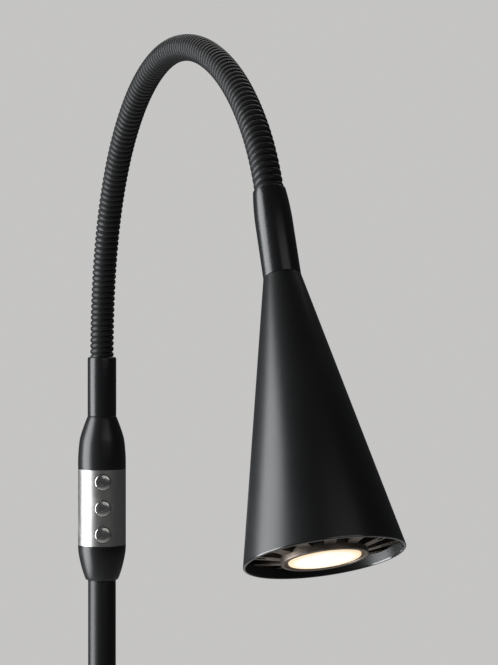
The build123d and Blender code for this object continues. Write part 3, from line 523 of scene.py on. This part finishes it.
def wire(form, points, closed):
    """Corners in the XZ plane, in millimetres, joined in turn. A third number
    rounds a corner by that much."""
    corners = [form.verts.new((point[0] * MM, 0, point[1] * MM)) for point in points]
    following = corners[1:] + corners[:1] if closed else corners[1:]
    for corner, next_corner in zip(corners, following):
        form.edges.new((corner, next_corner))
    rounds = {}
    for corner, point in zip(corners, points):
        if len(point) > 2:
            rounds.setdefault(point[2], []).append(corner)
    for radius, group in rounds.items():
        bmesh.ops.bevel(form, geom=group, offset=radius * MM, offset_type="OFFSET",
                        segments=3 if radius < 2 else 12, profile=0.5, affect="VERTICES",
                        material=-1)


def spun(points, steps=ROUND, closed=True):
    """A body of revolution about Z."""
    form = bmesh.new()
    wire(form, points, closed)
    bmesh.ops.spin(form, geom=form.verts[:] + form.edges[:], cent=(0, 0, 0), axis=(0, 0, 1),
                   angle=2 * pi, steps=steps, use_merge=True)
    bmesh.ops.remove_doubles(form, verts=form.verts, dist=1e-6)
    bmesh.ops.recalc_face_normals(form, faces=form.faces)
    return form


def join(form, other):
    """Add another bmesh to this one."""
    mesh = bpy.data.meshes.new("part")
    other.to_mesh(mesh)
    other.free()
    form.from_mesh(mesh)
    bpy.data.meshes.remove(mesh)
    return form


def rod(radius, low, high, place, steps):
    """A plain round bar, as a tool for cutting."""
    form = spun([(0, low), (radius, low), (radius, high), (0, high)], steps, closed=False)
    bmesh.ops.transform(form, matrix=place, verts=form.verts)
    return form


def cut(piece, *tools):
    """Take the tools' volume out of a piece."""
    cutter_form = bmesh.new()
    for tool in tools:
        join(cutter_form, tool)
    mesh = bpy.data.meshes.new("cutter")
    cutter_form.to_mesh(mesh)
    cutter_form.free()
    cutter = bpy.data.objects.new("cutter", mesh)
    bpy.context.scene.collection.objects.link(cutter)
    modifier = piece.modifiers.new("cut", "BOOLEAN")
    modifier.operation = "DIFFERENCE"
    modifier.solver = "EXACT"
    modifier.object = cutter
    apply_modifiers(piece)
    bpy.data.objects.remove(cutter)
    bpy.data.meshes.remove(mesh)


def apply_modifiers(piece):
    """Fix the modifiers' result in the piece's mesh."""
    evaluated = piece.evaluated_get(bpy.context.evaluated_depsgraph_get())
    mesh = bpy.data.meshes.new_from_object(evaluated)
    piece.modifiers.clear()
    old = piece.data
    piece.data = mesh
    mesh.name = piece.name
    bpy.data.meshes.remove(old)


def soften(piece, width):
    """Round a piece's sharp edges with a small bevel."""
    modifier = piece.modifiers.new("soften", "BEVEL")
    modifier.width = width * MM
    modifier.segments = 2
    modifier.limit_method = "ANGLE"
    modifier.angle_limit = radians(30)
    modifier.harden_normals = True
    apply_modifiers(piece)


# ---------------------------------------------------------------- base and pole

def base():
    """The pad, the cover with its hole for the inlet, the inlet and the pole's foot."""
    pad = spun([(0, 0), (PAD_RADIUS, 0, 0.4), (PAD_RADIUS, PAD_TOP, 0.3), (0, PAD_TOP)], 128, False)
    keep("floor_pad", pad, "pad", "stand", ["base_pad"])
    inner = BASE_RADIUS - COVER_WALL
    hole = FOOT_SPIGOT + SLIP
    cover = keep("base_cover_pressing", spun([
        (BASE_RADIUS, COVER_SKIRT, 0.3), (BASE_RADIUS, COVER_TOP, COVER_ROLL),
        (hole, COVER_TOP, 0.2), (hole, WEIGHT_TOP),
        (inner, WEIGHT_TOP, COVER_ROLL - COVER_WALL), (inner, COVER_SKIRT, 0.3)], 192),
        "base", "stand", ["base_cover"])
    reach = 8
    cut(cover, rod(INLET_NOSE + SLIP, BASE_RADIUS - reach, BASE_RADIUS + reach, INLET_PLACE, 48))
    inlet()
    waist = POLE_RADIUS + 3.2
    top = POLE_RADIUS + 2.7
    seat = POLE_RADIUS + SLIP
    foot = spun([
        (FOOT_BORE, WEIGHT_TOP), (FOOT_SPIGOT, WEIGHT_TOP), (FOOT_SPIGOT, COVER_TOP),
        (FOOT_FLANGE, COVER_TOP, 0.4), (FOOT_FLANGE, COVER_TOP + 3.0, 1.2),
        (14.6, COVER_TOP + 6.6, 9.0), (waist, COVER_TOP + 13.0, 4.0), (top, FOOT_TOP, 0.7),
        (seat, FOOT_TOP, 0.2), (seat, POLE_BOTTOM), (FOOT_BORE, POLE_BOTTOM)])
    keep("pole_foot_flare", foot, "base", "stand", ["pole_foot"])


def inlet():
    """The socket at the back: a nose with a rounded mouth, its bore and its pin."""
    root = INLET_FRONT - 3
    floor = INLET_MOUTH - INLET_BORE_DEPTH
    nose = spun([
        (INLET_NOSE, root), (INLET_NOSE, INLET_MOUTH, 0.35), (INLET_BORE, INLET_MOUTH, 0.25),
        (INLET_BORE, floor), (INLET_PIN_HOLE, floor), (INLET_PIN_HOLE, root)], 48)
    bmesh.ops.transform(nose, matrix=INLET_PLACE, verts=nose.verts)
    body = bmesh.new()
    bmesh.ops.create_cube(body, size=1)
    sides = [side * MM for side in INLET_BODY]
    bmesh.ops.transform(body, matrix=Matrix.Diagonal((*sides, 1)), verts=body.verts)
    middle = move(0, INLET_FRONT - INLET_BODY_SETBACK, INLET_HEIGHT)
    bmesh.ops.transform(body, matrix=middle, verts=body.verts)
    keep("socket_moulding", join(nose, body), "plastic", "stand", ["dc_inlet"])
    low = INLET_FRONT - 2
    tip = INLET_MOUTH - 1
    pin = spun([(0, low), (INLET_PIN, low), (INLET_PIN, tip, 0.4), (0, tip)], 24, False)
    keep("socket_pin", pin, "brass", "stand", ["dc_inlet_pin"], INLET_PLACE)


def pole():
    """Its two tubes, with a fine groove where they meet."""
    for name, low, high in (("lower_pole", POLE_BOTTOM, POLE_JOINT), ("upper_pole", POLE_JOINT, POLE_TOP)):
        form = spun([(POLE_BORE, low), (POLE_RADIUS, low, 0.25), (POLE_RADIUS, high, 0.25),
                     (POLE_BORE, high)])
        keep(name + "_tube", form, "pole", "stand", [name])


# ---------------------------------------------------------------- switch

def taper_middle(end):
    """A taper's radius half-way between its end and the housing's full width."""
    return (end + SWITCH_RADIUS) / 2 + TAPER_SWELL


def switch():
    """The housing's two tapered shells, the bright band between them and the buttons."""
    seat = POLE_RADIUS + SLIP
    lower = spun([
        (seat, SWITCH_BOTTOM, 0.2), (LOWER_END_RADIUS, SWITCH_BOTTOM, 0.4),
        (taper_middle(LOWER_END_RADIUS), SWITCH_BOTTOM + LOWER_TAPER / 2, 6.0),
        (SWITCH_RADIUS, LOWER_TAPER_TOP, 1.6), (SWITCH_RADIUS, BAND_BOTTOM, 0.2),
        (SWITCH_CAVITY, BAND_BOTTOM), (seat, POLE_TOP)])
    keep("switch_lower_housing", lower, "shell", "stand", ["switch_lower_shell"])
    upper = spun([
        (SWITCH_CAVITY, BAND_TOP), (SWITCH_RADIUS, BAND_TOP, 0.2),
        (SWITCH_RADIUS, UPPER_TAPER_BOTTOM, 5.0),
        (taper_middle(SLEEVE_RADIUS), UPPER_TAPER_BOTTOM + UPPER_TAPER / 2, 7.0),
        (SLEEVE_RADIUS, SLEEVE_BOTTOM, 0.25), (SLEEVE_SPIGOT + SLIP, SLEEVE_BOTTOM)])
    keep("switch_upper_housing", upper, "shell", "stand", ["switch_upper_shell"])
    bore = SWITCH_RADIUS - BAND_WALL
    band = keep("switch_band_sleeve", spun([
        (SWITCH_RADIUS, BAND_BOTTOM), (SWITCH_RADIUS, BAND_TOP), (bore, BAND_TOP),
        (bore, BAND_BOTTOM)], 128), "band", "stand", ["switch_band"])
    middle = (BAND_BOTTOM + BAND_TOP) / 2
    inside, outside = 5, 20  # from the lamp's axis, where each hole's cutter starts and ends
    holes = []
    for index, name in enumerate(BUTTONS):
        out = FRONT @ move(0, 0, middle + BUTTON_PITCH * (index - 1)) @ turn(pi / 2, "X")
        holes.append(rod(BUTTON_RADIUS + BUTTON_GAP, inside, outside, out, 64))
        button(name, out)
    cut(band, *holes)
    soften(band, 0.15)


def button(name, out):
    """A crowned cap with a turned dish at its middle, on its flange and stem."""
    rim = SWITCH_RADIUS + BUTTON_EDGE
    flange = SWITCH_RADIUS - FLANGE_DEPTH
    back = flange - FLANGE_THICKNESS
    stem = back - STEM_LENGTH
    form = spun([
        (0, stem), (STEM_RADIUS, stem, 0.3), (STEM_RADIUS, back), (FLANGE_RADIUS, back, 0.2),
        (FLANGE_RADIUS, flange, 0.2), (BUTTON_RADIUS, flange), (BUTTON_RADIUS, rim, 0.3),
        (2.5, rim + 0.44, 1.4), (1.5, rim + 0.55, 0.3), (1.1, rim + 0.47, 0.3), (0, rim + 0.43)],
        64, False)
    keep(name + "_cap", form, "button", name + "_cap", [name], out)


# ---------------------------------------------------------------- neck

def rib_profile(share):
    """The wound wire's height over one pitch, 0 in the groove and 1 on the crest."""
    across = abs(2 * share - 1) / RIB_SHARE  # beyond 1 in the groove, 0 on the crest
    return (1 - across ** 2.8) ** 0.65 if across < 1 else 0.0


def neck():
    """The wound skin, a helix of one rib's outline, and the lead inside it, both
    bent along the neck. They are cut between the joints, so that each length
    is laid bent over one joint."""
    pitch = NECK_LENGTH / NECK_TURNS
    middles = [round((link + 0.5) * LINK_LENGTH / pitch) for link in range(LINKS)]
    ends = [-TURNS_IN_SLEEVE] + middles[1:-1] + [NECK_TURNS + TURNS_IN_COLLAR]
    lead_ends = [LEAD_START] + [middle * pitch for middle in middles[1:-1]] + [LEAD_END]
    for joint in range(1, LINKS):
        nodes = [f"neck_link_{joint:02d}"] + (["neck_link_10"] if joint == LINKS - 1 else [])
        skin = keep(f"neck_skin_{joint}", wound_length(ends[joint - 1], ends[joint], pitch),
                    "neck", None, nodes, sharp=60)
        lead = keep(f"neck_lead_{joint}", lead_length(lead_ends[joint - 1], lead_ends[joint]),
                    "sheath", None, ["neck_lead"])
        for piece in (skin, lead):
            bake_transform(piece)


def lay_on_neck(form):
    """Lay a straight form on Z along the neck."""
    for vertex in form.verts:
        place = along_neck(vertex.co.z / MM)
        vertex.co = place @ Vector((vertex.co.x, vertex.co.y, 0))
    return form


def wound_length(first, last, pitch):
    """Some turns of the winding, closed at both ends."""
    form = bmesh.new()
    layer = form.verts.layers.float.new("rib_height")
    corners = []
    for index in range(TURN_POINTS + 1):
        share = index / TURN_POINTS
        height = rib_profile(share)
        radius = NECK_RADIUS - RIB_DEPTH * (1 - height)
        corner = form.verts.new((radius * MM, 0, pitch * (first + share) * MM))
        corner[layer] = height
        corners.append(corner)
    for corner, next_corner in zip(corners, corners[1:]):
        form.edges.new((corner, next_corner))
    turns = last - first
    bmesh.ops.spin(form, geom=form.verts[:] + form.edges[:], cent=(0, 0, 0), axis=(0, 0, 1),
                   dvec=(0, 0, pitch * MM / TURN_STEPS), angle=2 * pi * turns,
                   steps=TURN_STEPS * turns, use_merge=False)
    bmesh.ops.remove_doubles(form, verts=form.verts, dist=1e-6)
    bmesh.ops.holes_fill(form, edges=[edge for edge in form.edges if edge.is_boundary], sides=0)
    bmesh.ops.recalc_face_normals(form, faces=form.faces)
    return lay_on_neck(form)


def lead_length(low, high):
    """A stretch of the round lead, closed at both ends."""
    steps = round((high - low) / LEAD_STEP)
    side = [(LEAD_RADIUS, low + (high - low) * step / steps) for step in range(steps + 1)]
    return lay_on_neck(spun([(0, low), *side, (0, high)], 24, False))


def sleeve():
    """The turned sleeve, with a socket in its top for the neck's end."""
    floor = SLEEVE_TOP - NECK_END - 2
    form = spun([
        (NECK_SOCKET, floor), (NECK_SOCKET, SLEEVE_TOP, 0.25), (SLEEVE_RADIUS, SLEEVE_TOP, 1.0),
        (SLEEVE_RADIUS, SLEEVE_BOTTOM, 0.25), (SLEEVE_SPIGOT, SLEEVE_BOTTOM),
        (LEAD_WAY, SLEEVE_BOTTOM), (LEAD_WAY, floor)])
    keep("neck_sleeve_turned", form, "sleeve", "stand", ["neck_sleeve"])


# ---------------------------------------------------------------- head

def collar():
    """The turned collar between neck and shade, narrower at the neck."""
    floor = NECK_END + 2
    thread = SEAM - NIPPLE_DEPTH
    form = spun([
        (NECK_SOCKET, floor), (NECK_SOCKET, 0, 0.2), (5.8, 0, 0.25), (COLLAR_RADIUS, 7.0, 5.0),
        (COLLAR_RADIUS, SEAM, 0.3), (NIPPLE_HOLE, SEAM), (NIPPLE_HOLE, thread),
        (LEAD_WAY, thread), (LEAD_WAY, floor)])
    keep("collar_turned", form, "collar", "head", ["head_collar"], HEAD)


def shade():
    """The spun cone, with a rounded lip and a solid crown."""
    crown = SEAM + SHADE_CROWN
    crown_radius = COLLAR_RADIUS + SHADE_SLOPE * SHADE_CROWN - SHADE_WALL
    form = spun([
        (NIPPLE_HOLE, SEAM), (COLLAR_RADIUS, SEAM, 0.3), (MOUTH_RADIUS, MOUTH, 0.55),
        (MOUTH_RADIUS - SHADE_WALL, MOUTH, 0.2), (crown_radius, crown, 0.5),
        (NIPPLE_HOLE, crown)], 192)
    keep("shade_cone", form, "shade", "head", ["shade"], HEAD)


def heatsink():
    """The bulb's bare metal body: a proud hub, and looped petals round it."""
    rear = MOUTH - CORE_REAR
    front = MOUTH + LENS_OUT - 0.3
    floor = MOUTH - CUP_DEPTH - 1.6
    form = spun([
        (0, rear), (CORE_REAR_RADIUS, rear, 0.5), (13.2, MOUTH - 12.0, 3.0),
        (HUB_RADIUS, MOUTH - 8.0, 1.0), (HUB_RADIUS, front, 0.5), (CUP_RADIUS, front, 0.35),
        (CUP_RADIUS, floor), (0, floor)], ROUND, False)
    for number in range(PETALS):
        leaf = petal()
        bmesh.ops.transform(leaf, matrix=turn(PETAL_TURN + 2 * pi * number / PETALS, "Z"), verts=leaf.verts)
        join(form, leaf)
    keep("bulb_petal_body", form, "heatsink", "head", ["bulb_heatsink"], HEAD)


def petal():
    """One petal: two walls that part on the way out from the hub and close in a
    loop, sloped off at their front and rear."""
    half = PETAL_WIDTH / 2
    slot = half - PETAL_WALL
    inside = BULB_RADIUS - PETAL_WALL
    root = HUB_RADIUS - 0.7
    form = bmesh.new()
    outline(form, [(root, -half), (BULB_RADIUS, -half, 1.3), (BULB_RADIUS, half, 1.3), (root, half)])
    outline(form, [(PETAL_SLOT, -slot, 0.7), (inside, -slot, 0.5), (inside, slot, 0.5),
                   (PETAL_SLOT, slot, 0.7)])
    bmesh.ops.translate(form, vec=(0, 0, (MOUTH - PETAL_BLANK) * MM), verts=form.verts)
    bmesh.ops.triangle_fill(form, use_beauty=True, use_dissolve=True, edges=form.edges)
    raised = bmesh.ops.extrude_face_region(form, geom=form.faces[:] + form.edges[:] + form.verts[:])
    tops = [item for item in raised["geom"] if isinstance(item, bmesh.types.BMVert)]
    bmesh.ops.translate(form, vec=(0, 0, PETAL_BLANK * MM), verts=tops)
    front = MOUTH - PETAL_RECESS
    back = MOUTH - (PETAL_RECESS + PETAL_END)
    corner = BULB_RADIUS - PETAL_END * SHADE_SLOPE
    sides = [
        ((HUB_RADIUS, MOUTH - PETAL_ROOT_RECESS), (BULB_RADIUS, front)),
        ((BULB_RADIUS, front), (corner, back)),
        ((corner, back), (PETAL_REAR_RADIUS, MOUTH - PETAL_REAR)),
    ]
    for start, end in sides:
        normal = (start[1] - end[1], 0, end[0] - start[0])
        sliced = bmesh.ops.bisect_plane(form, geom=form.verts[:] + form.edges[:] + form.faces[:],
                                        plane_co=(start[0] * MM, 0, start[1] * MM),
                                        plane_no=normal, clear_outer=True)
        rims = [item for item in sliced["geom_cut"] if isinstance(item, bmesh.types.BMEdge)]
        bmesh.ops.triangle_fill(form, use_beauty=True, use_dissolve=True, edges=rims)
    bmesh.ops.recalc_face_normals(form, faces=form.faces)
    return form


def outline(form, points):
    """A closed line in the XY plane, with its corners rounded like a wire's."""
    line = bmesh.new()
    wire(line, points, True)
    bmesh.ops.transform(line, matrix=turn(-pi / 2, "X"), verts=line.verts)
    join(form, line)


def lens_and_bezel():
    """The domed lens and the thin ring between it and the hub's cup."""
    edge = MOUTH + LENS_OUT - 0.5
    lens = spun([
        (0, MOUTH - 8), (3.5, MOUTH - 8), (LENS_RADIUS, edge - 2.0), (LENS_RADIUS, edge, 0.25),
        (7.0, edge + 0.42, 4.0), (0, edge + 0.5)], ROUND, False)
    keep("lens_glowing", lens, "lens", "head", ["bulb_lens"], HEAD)
    front = MOUTH + LENS_OUT - 0.6
    inner = LENS_RADIUS + BEZEL_GAP
    outer = CUP_RADIUS - BEZEL_GAP
    ring = spun([
        (inner, MOUTH - 4), (outer, MOUTH - 4), (outer, front, 0.2), (inner, front - 0.25, 0.15)])
    keep("lens_bezel_ring", ring, "bezel", "head", ["bulb_bezel"], HEAD)


INNER = {
    "base_weight": "iron", "foot_screws": "steel", "pole_coupler": "steel", "pole_plug": "steel",
    "pole_nut": "steel", "supply_lead": "sheath", "switch_ties": "steel", "switch_chassis": "plastic",
    "switch_board": "board", "key_switches": "plastic", "sleeve_nut": "steel",
    "head_nipple": "steel", "shade_nut": "steel", "holder_tube": "holder_black",
    "holder_screws": "steel", "lamp_holder": "ceramic", "holder_contacts": "brass",
    "bulb_cap": "cap", "bulb_pins": "steel", "bulb_led": "white_board",
}


def inner_pieces():
    """The CAD pieces that stay as they are get their finish."""
    for name, finish in INNER.items():
        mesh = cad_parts[name].data
        mesh.materials.clear()
        mesh.materials.append(FINISH[finish])


# ---------------------------------------------------------------- studio

def floor_and_air():
    """A pale floor, and air that looks pale to the camera and lights very little."""
    form = bmesh.new()
    bmesh.ops.create_circle(form, cap_ends=True, radius=3.2, segments=96)
    bmesh.ops.translate(form, vec=(0, 0, -0.0002), verts=form.verts)
    mesh = bpy.data.meshes.new("floor")
    form.to_mesh(mesh)
    form.free()
    floor_piece = bpy.data.objects.new("floor", mesh)
    bpy.context.scene.collection.objects.link(floor_piece)
    paint = Paint("floor_pale")
    cloud = paint.noise(paint.here(), 3, 3.0, 0.5)
    tone = paint.mix(cloud, (0.60, 0.595, 0.585), (0.63, 0.625, 0.615))
    mesh.materials.append(paint.finish(Base_Color=tone, Roughness=0.8))

    world = bpy.data.worlds.new("air")
    bpy.context.scene.world = world
    world.use_nodes = True
    tree = world.node_tree
    tree.nodes.clear()
    seen = tree.nodes.new("ShaderNodeBackground")
    seen.inputs["Color"].default_value = (0.56, 0.555, 0.55, 1)
    seen.inputs["Strength"].default_value = 1.0
    lit = tree.nodes.new("ShaderNodeBackground")
    lit.inputs["Color"].default_value = (0.9, 0.94, 1.0, 1)
    lit.inputs["Strength"].default_value = 0.05
    path = tree.nodes.new("ShaderNodeLightPath")
    choose = tree.nodes.new("ShaderNodeMixShader")
    end = tree.nodes.new("ShaderNodeOutputWorld")
    tree.links.new(path.outputs["Is Camera Ray"], choose.inputs[0])
    tree.links.new(lit.outputs[0], choose.inputs[1])
    tree.links.new(seen.outputs[0], choose.inputs[2])
    tree.links.new(choose.outputs[0], end.inputs[0])


def area_light(name, centre, towards, width, height, power, colour):
    """A soft rectangular light that faces a point, places and sizes in metres."""
    data = bpy.data.lights.new(name, "AREA")
    data.shape = "RECTANGLE"
    data.size = width
    data.size_y = height
    data.energy = power
    data.color = colour
    lamp = bpy.data.objects.new(name, data)
    bpy.context.scene.collection.objects.link(lamp)
    lamp.location = centre
    lamp.rotation_euler = (Vector(towards) - Vector(centre)).to_track_quat("-Z", "Y").to_euler()
    lamp.visible_camera = False


def lights():
    """A window at the left, a weak fill in front and a broad light behind the lamp."""
    area_light("window", (-1.03, 0.18, 1.15), (0.0, -0.15, 1.15), 0.8, 1.6, 31, (0.95, 0.98, 1.0))
    area_light("front_fill", (0.3, -1.9, 2.0), (0.0, -0.1, 1.0), 1.6, 1.0, 3.6, (1.0, 0.98, 0.95))
    area_light("overhead", (0.5, 1.9, 2.9), (0.5, 1.9, 0.0), 3.0, 3.0, 34.0, (1.0, 0.99, 0.97))


def camera():
    """A level camera, at the place that the photograph's outlines give."""
    data = bpy.data.cameras.new("camera")
    data.lens = CAMERA_LENS
    data.sensor_width = CAMERA_FRAME
    data.clip_start = 0.01
    view = bpy.data.objects.new("camera", data)
    bpy.context.scene.collection.objects.link(view)
    view.location = Vector(CAMERA_PLACE) * MM
    view.rotation_euler = (pi / 2, 0, radians(CAMERA_TURN))
    bpy.context.scene.camera = view


base()
pole()
switch()
sleeve()
neck()
collar()
shade()
heatsink()
lens_and_bezel()
inner_pieces()
floor_and_air()
lights()
camera()
bpy.context.scene.view_settings.view_transform = "Standard"
